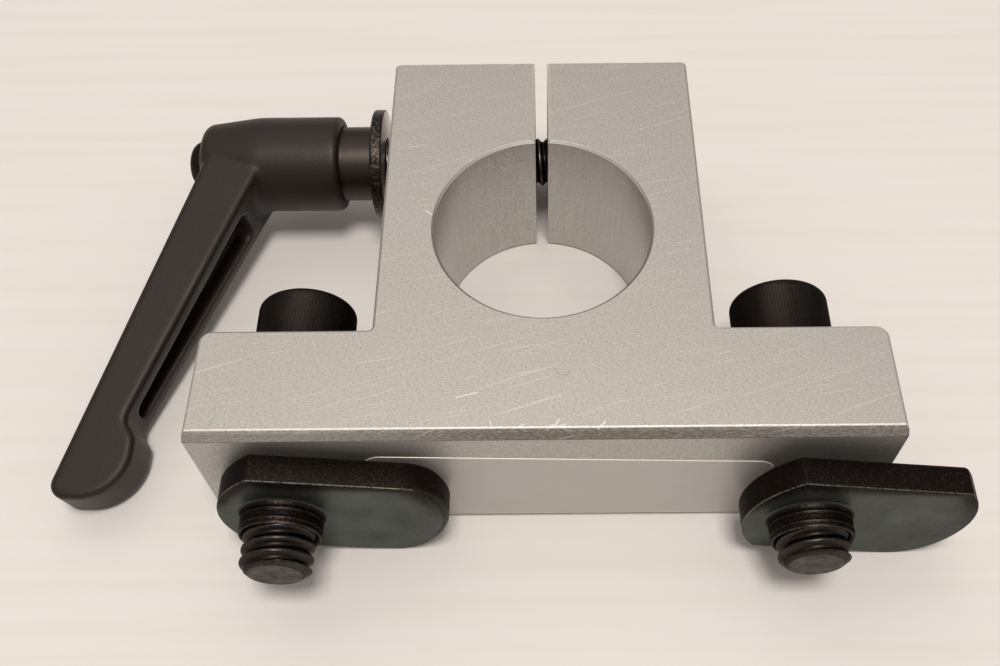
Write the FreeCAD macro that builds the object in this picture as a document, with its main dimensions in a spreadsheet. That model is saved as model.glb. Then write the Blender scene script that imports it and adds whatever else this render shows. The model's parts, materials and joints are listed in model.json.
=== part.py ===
import FreeCAD, Part
import os

import Sketcher
from FreeCAD import Vector

# A stanchion clamp that lies on its side: the tube bore stands along +Z with the resting face at z = 0,
# +Y runs from the bolted base to the split end, and the clamping lever is on the -X side.

# Driving sizes in millimetres and degrees, one cell each.
SIZES = {
    # split block
    "base_width": 76.2,
    "base_height": 13.25,
    "upright_width": 38.1,
    "overall_height": 54.4,
    "block_thickness": 21.5,
    "bore_diameter": 25.8,
    "bore_height": 27.65,
    "slit_width": 1.6,
    "base_corner": 1.4,
    "upright_corner": 0.7,
    "root_fillet": 0.5,
    "front_chamfer": 0.8,
    "edge_break": 0.3,
    "bolt_spacing": 57.9,
    # base screws
    "screw_diameter": 7.94,
    "screw_length": 25.4,
    "screw_tip_chamfer": 0.9,
    "head_diameter": 11.91,
    "head_height": 7.94,
    "head_edge": 0.6,
    "socket_flats": 6.35,
    "socket_depth": 4.0,
    "screw_clearance": 0.3,
    "left_stand_off": 1.25,
    "right_stand_off": 1.9,
    # slot nuts
    "nut_diameter": 25.4,
    "nut_width": 17.5,
    "nut_thickness": 3.15,
    "nut_offset": 5.6,
    "left_nut_round": 4.5,
    "right_nut_round": 6.0,
    "nut_edge": 0.35,
    "nut_collar_diameter": 9.2,
    "nut_collar_height": 2.65,
    "nut_collar_fillet": 0.6,
    "thread_clearance": 0.05,
    "left_nut_gap": 0.95,
    "right_nut_gap": 1.85,
    "table_gap": 0.1,
    # clamping stud and washer
    "stud_inset": 8.0,
    "stud_diameter": 6.35,
    "stud_reach": 38.1,
    "stud_seat": 5.0,
    "stud_tip_chamfer": 0.7,
    "stud_clearance": 0.25,
    "washer_gap": 1.8,
    "washer_diameter": 14.4,
    "washer_thickness": 1.5,
    "washer_edge": 0.25,
    # serrated insert
    "insert_diameter": 9.9,
    "insert_exposed": 4.3,
    "insert_inside": 0.8,
    "insert_edge": 0.3,
    "tooth_count": 24,
    "tooth_root_diameter": 8.1,
    "tooth_height": 0.65,
    "tooth_base": 0.72,
    "tooth_crest": 0.24,
    "tooth_length": 2.6,
    "tooth_clearance": 0.12,
    "tooth_overlap": 0.3,
    "neck_diameter": 4.8,
    "neck_length": 6.0,
    "neck_clearance": 0.25,
    # moulded lever
    "hub_diameter": 12.6,
    "hub_length": 18.55,
    "hub_end_diameter": 10.6,
    "hub_taper": 7.4,
    "hub_round": 0.8,
    "hub_end_round": 1.5,
    "hub_blend": 1.2,
    "seat_gap": 0.05,
    "web_gap": 0.5,
    "web_thickness": 1.8,
    "lever_length": 46.75,
    "arm_inset": 1.75,
    "arm_root": 8.1,
    "arm_shoulder": 0.35,
    "arm_tip_thickness": 6.2,
    "arm_edge": 0.7,
    "tip_overhang": 13.2,
    "tip_slant": 0.4,
    "tip_round": 1.8,
    "paddle_width": 9.8,
    "paddle_length": 7.7,
    "paddle_flat": 2.85,
    "paddle_heel": 1.5,
    "waist_gap": 2.0,
    "waist_width": 5.4,
    "waist_round": 2.0,
    "channel_start": 8.6,
    "channel_land": 1.4,
    "channel_lip": 2.1,
    "channel_depth": 2.6,
    "channel_flat": 0.15,
    # retaining screw and spring
    "retainer_diameter": 6.6,
    "retainer_seat": 2.55,
    "retainer_dome": 2.0,
    "retainer_round": 1.9,
    "retainer_shank": 3.0,
    "retainer_engagement": 4.0,
    "retainer_flats": 2.5,
    "retainer_socket_depth": 1.6,
    "spring_clearance": 0.3,
    "spring_wire": 0.6,
    "spring_turns": 4,
}

doc = FreeCAD.newDocument("stanchion_clamp")
sheet = doc.addObject("Spreadsheet::Sheet", "dims")
for row, (alias, number) in enumerate(SIZES.items(), 1):
    sheet.set(f"A{row}", alias)
    sheet.set(f"B{row}", str(number))
    sheet.setAlias(f"B{row}", alias)
doc.recompute()

# Lines and planes that several pieces share, as expressions of the cells.
MID_HEIGHT = "dims.block_thickness / 2"
BASE_BOTTOM = "-dims.bore_height"
BASE_TOP = "(dims.base_height - dims.bore_height)"
BLOCK_TOP = "(dims.overall_height - dims.bore_height)"
STUD_LINE = f"({BLOCK_TOP} - dims.stud_inset)"
BOLT_X = "dims.bolt_spacing / 2"
SCREW_RADIUS = "dims.screw_diameter / 2"
NUT_HALF = "dims.nut_width / 2"
STUD_RADIUS = "dims.stud_diameter / 2"
BOLT_ROWS = {"left": "-1", "right": "1"}

# Distances outward from the left jaw's face along the stud axis.
INSERT_FACE = "(dims.washer_gap + dims.washer_thickness)"
HUB_IN = f"({INSERT_FACE} + dims.insert_exposed)"
TEETH_START = f"({HUB_IN} + dims.insert_inside)"
TEETH_END = f"({TEETH_START} + dims.tooth_length)"
WEB_IN = f"({TEETH_END} + dims.web_gap)"
WEB_OUT = f"({WEB_IN} + dims.web_thickness)"
HUB_OUT = f"({HUB_IN} + dims.hub_length)"
HEAD_SEAT = f"({HUB_OUT} - dims.retainer_seat)"
NECK_END = f"({TEETH_END} + dims.neck_length)"
SPRING_BORE = "(dims.retainer_diameter / 2 + dims.spring_clearance)"
ARM_ROOT = "((dims.hub_diameter + dims.hub_end_diameter) / 4 - dims.arm_shoulder)"
WAIST = "(dims.lever_length - dims.paddle_length - dims.waist_gap)"
CHANNEL_END = f"({WAIST} - dims.channel_land)"
TOOTH_ROOT = "dims.tooth_root_diameter / 2"
TOOTH_TIP = f"({TOOTH_ROOT} + dims.tooth_height)"


def value(expression):
    """Number that an expression of the cells gives now."""
    return float(sheet.evalExpression(expression))


def new_body(label):
    """Empty body named for its piece."""
    body = doc.addObject("PartDesign::Body", label)
    body.Label = label
    return body


def origin_feature(body, role):
    """Plane or axis of the body's own origin."""
    return next(f for f in body.Origin.OriginFeatures if f.Role == role)


def new_sketch(body, name, role, offset=None):
    """Sketch on one of the body's origin planes, moved along its normal by an expression."""
    sketch = body.newObject("Sketcher::SketchObject", name)
    sketch.AttachmentSupport = [(origin_feature(body, role), "")]
    sketch.MapMode = "FlatFace"
    if offset:
        sketch.setExpression("AttachmentOffset.Base.z", offset)
    return sketch


def bind_constraint(sketch, constraint, expression):
    """Add a dimension and tie it to an expression."""
    index = sketch.addConstraint(constraint)
    sketch.setExpression(f"Constraints[{index}]", expression)


def bind_point(sketch, geometry, position, x, y):
    """Hold a point at x, y from the sketch origin."""
    for kind, expression in (("DistanceX", x), ("DistanceY", y)):
        distance = Sketcher.Constraint(kind, -1, 1, geometry, position, value(expression))
        bind_constraint(sketch, distance, expression)


def outline(sketch, corners):
    """Closed outline through the corners (x, y), each with a rounding radius if it has a third entry."""
    points = [Vector(value(corner[0]), value(corner[1]), 0) for corner in corners]
    count = len(points)
    sides = [sketch.addGeometry(Part.LineSegment(points[i], points[(i + 1) % count])) for i in range(count)]
    for i, side in enumerate(sides):
        sketch.addConstraint(Sketcher.Constraint("Coincident", side, 2, sides[(i + 1) % count], 1))
    for side, corner in zip(sides, corners):
        bind_point(sketch, side, 1, corner[0], corner[1])
    for side, corner in zip(sides, corners):
        if len(corner) > 2:
            radius = value(corner[2])
            sketch.fillet(side, 1, radius, True, True)
            arc = sketch.GeometryCount - 2
            bind_constraint(sketch, Sketcher.Constraint("Radius", arc, radius), corner[2])


def circle(sketch, x, y, radius):
    """Circle about x, y."""
    centre = Vector(value(x), value(y), 0)
    index = sketch.addGeometry(Part.Circle(centre, Vector(0, 0, 1), value(radius)))
    bind_constraint(sketch, Sketcher.Constraint("Radius", index, value(radius)), radius)
    bind_point(sketch, index, 3, x, y)


def hexagon(sketch, flats):
    """Hexagon about the sketch origin with two corners on its horizontal axis."""
    half, reach = f"{flats} / 2", f"{flats} / sqrt(3)"
    ends = [(f"{reach} / 2", half), (f"-{reach} / 2", half), (f"-{reach}", "0")]
    outline(sketch, ends + [(f"-{reach} / 2", f"-{half}"), (f"{reach} / 2", f"-{half}"), (reach, "0")])


def add_feature(body, kind, name, sketch, **settings):
    """Feature made from a sketch; text settings are expressions, others are plain values."""
    feature = body.newObject(f"PartDesign::{kind}", name)
    feature.Profile = sketch
    for key, setting in settings.items():
        if isinstance(setting, str) and key not in ("Type", "Mode"):
            feature.setExpression(key, setting)
        else:
            setattr(feature, key, setting)
    sketch.Visibility = False
    doc.recompute()
    return feature


def add_turned(body, kind, name, sketch, axis):
    """Full revolution or groove about a sketch axis."""
    return add_feature(body, kind, name, sketch, ReferenceAxis=(sketch, [axis]), Angle=360)


def through_cut(body, name, sketch):
    """Cut to both sides of the sketch through the whole body."""
    return add_feature(body, "Pocket", name, sketch, Type="ThroughAll", Midplane=True)


def ring_of(body, name, feature, axis, count):
    """Copies of a feature spread evenly round an axis."""
    pattern = body.newObject("PartDesign::PolarPattern", name)
    pattern.Originals = [feature]
    pattern.Axis = axis
    pattern.Angle = 360
    pattern.setExpression("Occurrences", count)
    body.Tip = pattern
    doc.recompute()
    return pattern


def dress(body, kind, name, size, wanted):
    """Fillet or chamfer the edges of the body's last feature that the test picks out."""
    base = body.Tip
    edges = [f"Edge{i}" for i, edge in enumerate(base.Shape.Edges, 1) if wanted(edge)]
    feature = body.newObject(f"PartDesign::{kind}", name)
    feature.Base = (base, edges)
    feature.setExpression("Radius" if kind == "Fillet" else "Size", size)
    doc.recompute()
    return feature


def near(a, b):
    """True for two coordinates that are the same point of the model."""
    return abs(a - b) < 1e-4


def lies_at(edge, axis, level):
    """True where the whole edge lies in the plane axis = level (axis 0, 1, 2 for x, y, z)."""
    box = edge.BoundBox
    low, high = ((box.XMin, box.XMax), (box.YMin, box.YMax), (box.ZMin, box.ZMax))[axis]
    return near(low, level) and near(high, level)


def is_circle(edge, radius):
    """True for a round edge of the given radius."""
    return isinstance(edge.Curve, Part.Circle) and near(edge.Curve.Radius, radius)


def place(body, x, y, z, rotation):
    """Put a body at x, y, z, turned by yaw; pitch; roll."""
    body.setExpression("Placement", f"placement(vector({x}; {y}; {z}); rotation({rotation}))")


def make_block():
    """T-shaped block with the tube bore, the slit above it and the screw and stud holes."""
    body = new_body("clamp_body")
    half_base, half_up = "dims.base_width / 2", "dims.upright_width / 2"
    right = [
        (half_base, BASE_BOTTOM),
        (half_base, BASE_TOP, "dims.base_corner"),
        (half_up, BASE_TOP, "dims.root_fillet"),
        (half_up, BLOCK_TOP, "dims.upright_corner"),
    ]
    left = [(f"-{corner[0]}", *corner[1:]) for corner in reversed(right)]
    profile = new_sketch(body, "t_profile", "XY_Plane")
    outline(profile, right + left)
    add_feature(body, "Pad", "block", profile, Length="dims.block_thickness")

    bore = new_sketch(body, "bore_circle", "XY_Plane")
    circle(bore, "0", "0", "dims.bore_diameter / 2")
    through_cut(body, "tube_bore", bore)

    slit = new_sketch(body, "slit_outline", "XY_Plane")
    half_slit, above = "dims.slit_width / 2", f"{BLOCK_TOP} + dims.slit_width"
    outline(slit, [(f"-{half_slit}", "0"), (half_slit, "0"), (half_slit, above), (f"-{half_slit}", above)])
    through_cut(body, "slit", slit)

    level_planes = ("0", "dims.block_thickness")
    front = value(BASE_BOTTOM)
    dress(body, "Chamfer", "front_edges", "dims.front_chamfer",
          lambda e: lies_at(e, 1, front) and any(lies_at(e, 2, value(z)) for z in level_planes))
    dress(body, "Chamfer", "broken_edges", "dims.edge_break",
          lambda e: any(lies_at(e, 2, value(z)) for z in level_planes))

    holes = new_sketch(body, "screw_circles", "XZ_Plane")
    for side in BOLT_ROWS.values():
        circle(holes, f"{side} * {BOLT_X}", MID_HEIGHT, f"{SCREW_RADIUS} + dims.screw_clearance")
    through_cut(body, "screw_holes", holes)

    for name, clearance, toward_right in (("clear_jaw", "stud_clearance", False),
                                          ("tapped_jaw", "thread_clearance", True)):
        jaw = new_sketch(body, f"{name}_circle", "YZ_Plane")
        circle(jaw, STUD_LINE, MID_HEIGHT, f"{STUD_RADIUS} + dims.{clearance}")
        add_feature(body, "Pocket", name, jaw, Type="ThroughAll", Reversed=toward_right)
    return body


def make_base_screw(side):
    """Socket head cap screw along its own Z axis, with the head's underside at z = 0."""
    body = new_body(f"base_screw_{side}")
    shank, head = SCREW_RADIUS, "dims.head_diameter / 2"
    tip, chamfer = "-dims.screw_length", "dims.screw_tip_chamfer"
    profile = new_sketch(body, "turned_profile", "XZ_Plane")
    outline(profile, [
        ("0", tip),
        (f"{shank} - {chamfer}", tip),
        (shank, f"{tip} + {chamfer}"),
        (shank, "0"),
        (head, "0"),
        (head, "dims.head_height", "dims.head_edge"),
        ("0", "dims.head_height"),
    ])
    add_turned(body, "Revolution", "screw", profile, "V_Axis")
    socket = new_sketch(body, "socket_hexagon", "XY_Plane", "dims.head_height")
    hexagon(socket, "dims.socket_flats")
    add_feature(body, "Pocket", "hex_socket", socket, Length="dims.socket_depth")
    seat = f"{BASE_TOP} + dims.{side}_stand_off"
    place(body, f"{BOLT_ROWS[side]} * {BOLT_X}", seat, MID_HEIGHT, "0; 0; -90")
    return body


def make_slot_nut(side, rounded_corners):
    """Stamped disc with two flats and an extruded collar, its thread at the origin and its collar along +Z.

    It hangs on its screw with the long end drooping until the rounded low corner meets the table.
    """
    body = new_body(f"t_nut_{side}")
    disc, rounding = "dims.nut_diameter / 2", f"dims.{side}_nut_round"
    blank = new_sketch(body, "disc_circle", "XY_Plane")
    circle(blank, "dims.nut_offset", "0", disc)
    add_feature(body, "Pad", "plate", blank, Length="dims.nut_thickness")
    flats = new_sketch(body, "flat_outlines", "XY_Plane")
    for sign in ("-", ""):
        near_end, far_end = f"dims.nut_offset - {disc}", f"dims.nut_offset + {disc}"
        outline(flats, [(near_end, f"{sign}{NUT_HALF}"), (far_end, f"{sign}{NUT_HALF}"),
                        (far_end, f"{sign}{disc}"), (near_end, f"{sign}{disc}")])
    through_cut(body, "flats", flats)
    half, offset = value(NUT_HALF), value("dims.nut_offset")
    dress(body, "Fillet", "long_end_corners", rounding,
          lambda e: e.BoundBox.XMin > offset and any(lies_at(e, 1, sign * half) for sign in rounded_corners)
          and e.BoundBox.XLength < half / 100)
    rim = new_sketch(body, "collar_circle", "XY_Plane", "dims.nut_thickness")
    circle(rim, "0", "0", "dims.nut_collar_diameter / 2")
    add_feature(body, "Pad", "collar", rim, Length="dims.nut_collar_height")
    face, collar = value("dims.nut_thickness"), value("dims.nut_collar_diameter / 2")
    dress(body, "Fillet", "collar_root", "dims.nut_collar_fillet",
          lambda e: is_circle(e, collar) and lies_at(e, 2, face))
    fillet_ring = collar + value("dims.nut_collar_fillet")
    dress(body, "Fillet", "stamped_edge", "dims.nut_edge",
          lambda e: lies_at(e, 2, face) and not is_circle(e, fillet_ring))
    hole = new_sketch(body, "thread_circle", "XY_Plane")
    circle(hole, "0", "0", f"{SCREW_RADIUS} + dims.thread_clearance")
    through_cut(body, "thread_hole", hole)

    across = f"({NUT_HALF} - {rounding})"
    along = f"(dims.nut_offset + sqrt(({disc} - {rounding})^2 - {across}^2))"
    drop = f"({MID_HEIGHT} - {rounding} - dims.table_gap)"
    droop = f"asin({drop} / sqrt({along}^2 + {across}^2)) - atan({across} / {along})"
    gap = f"{BASE_BOTTOM} - dims.{side}_nut_gap"
    place(body, f"{BOLT_ROWS[side]} * {BOLT_X}", gap, MID_HEIGHT, f"0; {droop}; 90")
    return body


def place_on_stud(body, turn):
    """Put a piece of the lever on the stud axis, its x = 0 at the left jaw's face."""
    place(body, "-dims.upright_width / 2", STUD_LINE, MID_HEIGHT, f"0; 0; {turn}")


def lever_droop():
    """Turn about the stud axis that rests the lever's tip just above the table."""
    return f"asin(({MID_HEIGHT} - dims.arm_tip_thickness / 2 - dims.table_gap) / dims.lever_length)"


def turn_about_stud(body, name, kind, corners):
    """Turned shape from corners (distance outward, radius) on the stud axis."""
    sketch = new_sketch(body, f"{name}_profile", "XY_Plane")
    outline(sketch, [(f"-({corner[0]})", *corner[1:]) for corner in corners])
    return add_turned(body, kind, name, sketch, "H_Axis")


def make_washer():
    """Flat washer between the jaw and the insert."""
    body = new_body("clamp_washer")
    inner, outer = f"{STUD_RADIUS} + dims.stud_clearance", "dims.washer_diameter / 2"
    turn_about_stud(body, "washer", "Revolution", [
        ("dims.washer_gap", inner),
        ("dims.washer_gap", outer, "dims.washer_edge"),
        (INSERT_FACE, outer, "dims.washer_edge"),
        (INSERT_FACE, inner),
    ])
    place_on_stud(body, "0")
    return body


def make_stud():
    """Threaded stud pressed into the insert, through the left jaw and into the tapped right jaw."""
    body = new_body("clamp_stud")
    end, chamfer = f"({INSERT_FACE} - dims.stud_reach)", "dims.stud_tip_chamfer"
    root = f"({INSERT_FACE} + dims.stud_seat)"
    turn_about_stud(body, "stud", "Revolution", [
        (end, "0"),
        (end, f"{STUD_RADIUS} - {chamfer}"),
        (f"{end} + {chamfer}", STUD_RADIUS),
        (root, STUD_RADIUS),
        (root, "0"),
    ])
    place_on_stud(body, "0")
    return body


def tooth_outline(body, name, start, clearance, overlap):
    """One serration on a plane across the stud axis, its crest up and its foot sunk by the overlap."""
    sketch = new_sketch(body, name, "YZ_Plane", f"-{start}")
    foot, crest = f"{TOOTH_ROOT} - {overlap}", f"{TOOTH_TIP} + {clearance}"
    foot_half = f"(dims.tooth_base / 2 + {clearance})"
    crest_half = f"(dims.tooth_crest / 2 + {clearance})"
    outline(sketch, [(f"-{foot_half}", foot), (foot_half, foot),
                     (crest_half, crest), (f"-{crest_half}", crest)])
    return sketch


def make_insert():
    """Steel insert: exposed bushing, ring of serrations, and a neck that guides the spring."""
    body = new_body("lever_insert")
    outer, neck = "dims.insert_diameter / 2", "dims.neck_diameter / 2"
    turn_about_stud(body, "insert", "Revolution", [
        (INSERT_FACE, "0"),
        (INSERT_FACE, outer, "dims.insert_edge"),
        (TEETH_START, outer),
        (TEETH_START, TOOTH_ROOT),
        (TEETH_END, TOOTH_ROOT),
        (TEETH_END, neck),
        (NECK_END, neck, "dims.insert_edge"),
        (NECK_END, "0"),
    ])
    tooth = tooth_outline(body, "tooth_profile", TEETH_START, "0", "dims.tooth_overlap")
    serration = add_feature(body, "Pad", "serration", tooth, Length="dims.tooth_length", Reversed=True)
    ring_of(body, "serrations", serration, (tooth, ["N_Axis"]), "dims.tooth_count")
    turn_about_stud(body, "stud_seat_bore", "Groove", [
        (f"{INSERT_FACE} - dims.insert_edge", "0"),
        (f"{INSERT_FACE} - dims.insert_edge", STUD_RADIUS),
        (f"{INSERT_FACE} + dims.stud_seat", STUD_RADIUS),
        (f"{INSERT_FACE} + dims.stud_seat", "0"),
    ])
    bottom = f"({NECK_END} - dims.retainer_engagement)"
    turn_about_stud(body, "retainer_bore", "Groove", [
        (bottom, "0"),
        (bottom, "dims.retainer_shank / 2"),
        (f"{NECK_END} + dims.insert_edge", "dims.retainer_shank / 2"),
        (f"{NECK_END} + dims.insert_edge", "0"),
    ])
    place_on_stud(body, lever_droop())
    return body


def arm_outer(reach):
    """Distance outward of the arm's outer edge at a distance from the stud axis."""
    slant = "(dims.tip_overhang + dims.arm_inset) / (dims.lever_length - dims.tip_slant)"
    return f"({HUB_OUT} - dims.arm_inset + {slant} * {reach})"


def arm_inner(reach):
    """Distance outward of the arm's inner edge, which narrows the arm from its root to its waist."""
    return f"({arm_outer(reach)} - dims.arm_root + (dims.arm_root - dims.waist_width) * {reach} / {WAIST})"


def arm_half(reach, shift=""):
    """Half the arm's thickness at a distance from the stud axis, shifted by a term."""
    return f"({ARM_ROOT} - ({ARM_ROOT} - dims.arm_tip_thickness / 2) * {reach} / dims.lever_length {shift})"


def make_handle():
    """Moulded lever: a hub round the insert and a tapering arm with a paddle end and a channel inside."""
    body = new_body("lever_handle")
    tip, paddle = f"({HUB_OUT} + dims.tip_overhang)", f"({HUB_OUT} + dims.tip_overhang - dims.paddle_width)"
    arm_corners = [
        (arm_outer("0"), "0"),
        (tip, "dims.lever_length - dims.tip_slant", "dims.tip_round"),
        (paddle, "dims.lever_length", "(dims.paddle_width + dims.paddle_length) / 2 - dims.paddle_flat"),
        (paddle, "dims.lever_length - dims.paddle_length", "dims.paddle_heel"),
        (arm_inner(WAIST), WAIST, "dims.waist_round"),
        (arm_inner("0"), "0"),
    ]
    side_view = new_sketch(body, "arm_outline", "XY_Plane")
    outline(side_view, [(f"-({out})", f"-({reach})", *rounding) for out, reach, *rounding in arm_corners])
    add_feature(body, "Pad", "arm", side_view, Length=f"2 * {ARM_ROOT}", Midplane=True)
    taper = new_sketch(body, "taper_outlines", "YZ_Plane")
    end = "dims.arm_tip_thickness / 2"
    for sign in ("-", ""):
        outline(taper, [("0", f"{sign}{ARM_ROOT}"), ("-dims.lever_length", f"{sign}{end}"),
                        ("-dims.lever_length", f"{sign}{ARM_ROOT}")])
    through_cut(body, "arm_taper", taper)
    slope = value(f"({ARM_ROOT} - {end}) / dims.lever_length")
    dress(body, "Fillet", "arm_edges", "dims.arm_edge",
          lambda e: not lies_at(e, 1, 0)
          and all(near(abs(p.z), value(ARM_ROOT) + slope * p.y) for p in e.discretize(5)))

    hub, hub_end = "dims.hub_diameter / 2", "dims.hub_end_diameter / 2"
    turn_about_stud(body, "hub", "Revolution", [
        (HUB_IN, "0"),
        (HUB_IN, hub, "dims.hub_round"),
        (f"{HUB_OUT} - dims.hub_taper", hub, "dims.hub_diameter"),
        (HUB_OUT, hub_end, "dims.hub_end_round"),
        (HUB_OUT, "0"),
    ])
    dress(body, "Fillet", "hub_blend", "dims.hub_blend",
          lambda e: -e.BoundBox.YMin < value(hub) and e.BoundBox.YMax < 0
          and not isinstance(e.Curve, Part.Circle))

    ends = [(reach, arm_half(reach, "- dims.channel_lip")) for reach in ("dims.channel_start", CHANNEL_END)]
    sections = []
    for reach, half in ends:
        section = new_sketch(body, "channel_section", "XZ_Plane", reach)
        mouth = f"-({arm_inner(reach)} - dims.arm_edge * 2)"
        floor = f"-({arm_inner(reach)} + dims.channel_depth)"
        outline(section, [(mouth, half), (floor, half), (floor, f"-{half}"), (mouth, f"-{half}")])
        sections.append(section)
    add_feature(body, "SubtractiveLoft", "channel", sections[0], Sections=sections[1:])
    dress(body, "Fillet", "channel_ends", f"{ends[-1][1]} - dims.channel_flat",
          lambda e: any(lies_at(e, 1, -value(reach)) and lies_at(e, 2, sign * value(half))
                        for reach, half in ends for sign in (-1, 1)))

    entry = "dims.insert_diameter / 2 + dims.tooth_clearance"
    stop = f"{TEETH_START} + dims.seat_gap"
    inner_teeth = f"{TOOTH_ROOT} + dims.tooth_clearance"
    neck = "dims.neck_diameter / 2 + dims.neck_clearance"
    beyond = f"{HUB_OUT} + dims.tip_overhang"
    turn_about_stud(body, "hub_bores", "Groove", [
        (f"{HUB_IN} - dims.insert_inside", "0"),
        (f"{HUB_IN} - dims.insert_inside", entry),
        (stop, entry),
        (stop, inner_teeth),
        (WEB_IN, inner_teeth),
        (WEB_IN, neck),
        (WEB_OUT, neck),
        (WEB_OUT, SPRING_BORE),
        (beyond, SPRING_BORE),
        (beyond, "0"),
    ])
    clearance, overlap = "dims.tooth_clearance", "dims.tooth_overlap"
    space = tooth_outline(body, "tooth_space_profile", TEETH_START, clearance, overlap)
    cut = add_feature(body, "Pocket", "tooth_space", space, Length=f"{WEB_IN} - {TEETH_START}")
    ring_of(body, "tooth_spaces", cut, (space, ["N_Axis"]), "dims.tooth_count")
    place_on_stud(body, lever_droop())
    return body


def make_retainer():
    """Domed screw that holds the handle and its spring on the insert."""
    body = new_body("retaining_screw")
    head, shank = "dims.retainer_diameter / 2", "dims.retainer_shank / 2"
    dome, tip = f"({HUB_OUT} + dims.retainer_dome)", f"({NECK_END} - dims.retainer_engagement)"
    turn_about_stud(body, "screw", "Revolution", [
        (tip, "0"),
        (tip, shank),
        (HEAD_SEAT, shank),
        (HEAD_SEAT, head),
        (dome, head, "dims.retainer_round"),
        (dome, "0"),
    ])
    socket = new_sketch(body, "socket_hexagon", "YZ_Plane", f"-{dome}")
    hexagon(socket, "dims.retainer_flats")
    add_feature(body, "Pocket", "hex_socket", socket, Length="dims.retainer_socket_depth", Reversed=True)
    place_on_stud(body, "0")
    return body


def make_spring():
    """Compression spring between the handle's web and the retaining screw's head."""
    body = new_body("lever_spring")
    coil_radius = "(dims.retainer_diameter / 2 - dims.spring_wire / 2)"
    wire = "dims.spring_wire / 2"
    section = new_sketch(body, "wire_section", "XY_Plane")
    circle(section, f"-({HEAD_SEAT} - {wire} - dims.seat_gap)", coil_radius, wire)
    length = f"({HEAD_SEAT} - {WEB_OUT} - dims.spring_wire - 2 * dims.seat_gap)"
    add_feature(body, "AdditiveHelix", "coil", section, ReferenceAxis=(section, ["H_Axis"]),
                Mode="height-turns-angle", Height=length, Turns="dims.spring_turns")
    place_on_stud(body, "0")
    return body


pieces = [
    make_block(),
    make_base_screw("left"),
    make_base_screw("right"),
    make_slot_nut("left", (-1, 1)),
    make_slot_nut("right", (-1,)),
    make_washer(),
    make_stud(),
    make_insert(),
    make_handle(),
    make_retainer(),
    make_spring(),
]
doc.recompute()

failed = [item.Name for item in doc.Objects if "Invalid" in item.State or "Error" in item.State]
if failed:
    raise RuntimeError(f"failed features: {failed}")
for piece in pieces:
    shape = piece.Shape
    if shape.isNull() or not shape.isValid() or len(shape.Solids) != 1:
        raise RuntimeError(f"{piece.Label} is not one valid solid")

os.makedirs("parts", exist_ok=True)
for piece in pieces:
    piece.Shape.exportStep(f"parts/{piece.Label}.step")
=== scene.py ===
import json
import math
from functools import partial

import bpy
import numpy as np
from bpy.props import FloatProperty, FloatVectorProperty, IntProperty, PointerProperty
from mathutils import Matrix, Vector


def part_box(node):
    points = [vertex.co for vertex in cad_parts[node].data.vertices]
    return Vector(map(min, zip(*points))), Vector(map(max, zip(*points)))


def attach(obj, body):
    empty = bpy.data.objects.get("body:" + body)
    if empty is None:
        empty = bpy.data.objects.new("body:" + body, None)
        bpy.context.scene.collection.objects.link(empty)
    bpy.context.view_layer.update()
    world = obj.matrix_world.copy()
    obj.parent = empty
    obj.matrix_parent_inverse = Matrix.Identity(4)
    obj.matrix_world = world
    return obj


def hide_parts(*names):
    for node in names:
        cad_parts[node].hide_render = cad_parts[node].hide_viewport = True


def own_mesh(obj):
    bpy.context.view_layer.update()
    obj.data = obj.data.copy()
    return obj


bl_info = {
    "name": "Stanchion clamp",
    "version": (1, 0, 0),
    "blender": (4, 5, 0),
    "location": "View3D > Sidebar > Clamp",
    "description": "Dresses a split post clamp with its ratchet lever, base screws and slot nuts",
    "category": "Object",
}

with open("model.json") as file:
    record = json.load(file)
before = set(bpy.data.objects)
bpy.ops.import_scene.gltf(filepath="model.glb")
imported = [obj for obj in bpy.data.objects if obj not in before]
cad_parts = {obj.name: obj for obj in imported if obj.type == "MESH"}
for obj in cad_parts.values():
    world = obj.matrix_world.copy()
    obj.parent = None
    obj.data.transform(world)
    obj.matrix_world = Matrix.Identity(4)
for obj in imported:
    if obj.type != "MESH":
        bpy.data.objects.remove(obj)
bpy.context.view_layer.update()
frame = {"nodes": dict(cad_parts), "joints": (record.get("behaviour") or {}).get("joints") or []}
JOINTS = {joint["name"]: joint for joint in frame["joints"]}
SIDES = ("left", "right")
MM = 0.001
X_AXIS, Y_AXIS, Z_AXIS = np.eye(3)

# Sizes of the solids that their boxes don't give.
BORE_RADIUS = 12.9 * MM
FRONT_CHAMFER = 0.8 * MM
SHANK_RADIUS = 3.97 * MM
HEAD_HEIGHT = 7.94 * MM
SOCKET_FLATS = 6.35 * MM
SOCKET_DEPTH = 4.0 * MM
STUD_CHAMFER = 0.7 * MM
NUT_DISC = 12.7 * MM
NUT_OFFSET = 5.6 * MM
NUT_HALF = 8.75 * MM
NUT_PLATE = 3.15 * MM
NUT_HOLE = 4.02 * MM
COLLAR_RADIUS = 4.6 * MM
COLLAR_TOP = 5.8 * MM

# Rounded corners at each nut's long end: upper or lower side of the plate, and radius, the lower one last.
NUT_CORNERS = {"left": ((1, 4.5 * MM), (-1, 4.5 * MM)), "right": ((-1, 6.0 * MM),)}

# Share of a pitch that is flat at a thread's root and crest, and the depth of its groove in pitches.
ROOT_FLAT = 0.14
CREST_FLAT = 0.1
THREAD_DEPTH = 0.34

# Rings of the label from its back to its face: inset in millimetres, share of the film, pale rim.
LABEL_RINGS = ((0.0, 0.0, 1.0), (0.0, 0.6, 1.0), (0.02, 1.0, 1.0), (0.13, 1.0, 1.0), (0.2, 1.0, 0.0),
               (0.3, 1.0, 0.0))

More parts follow.
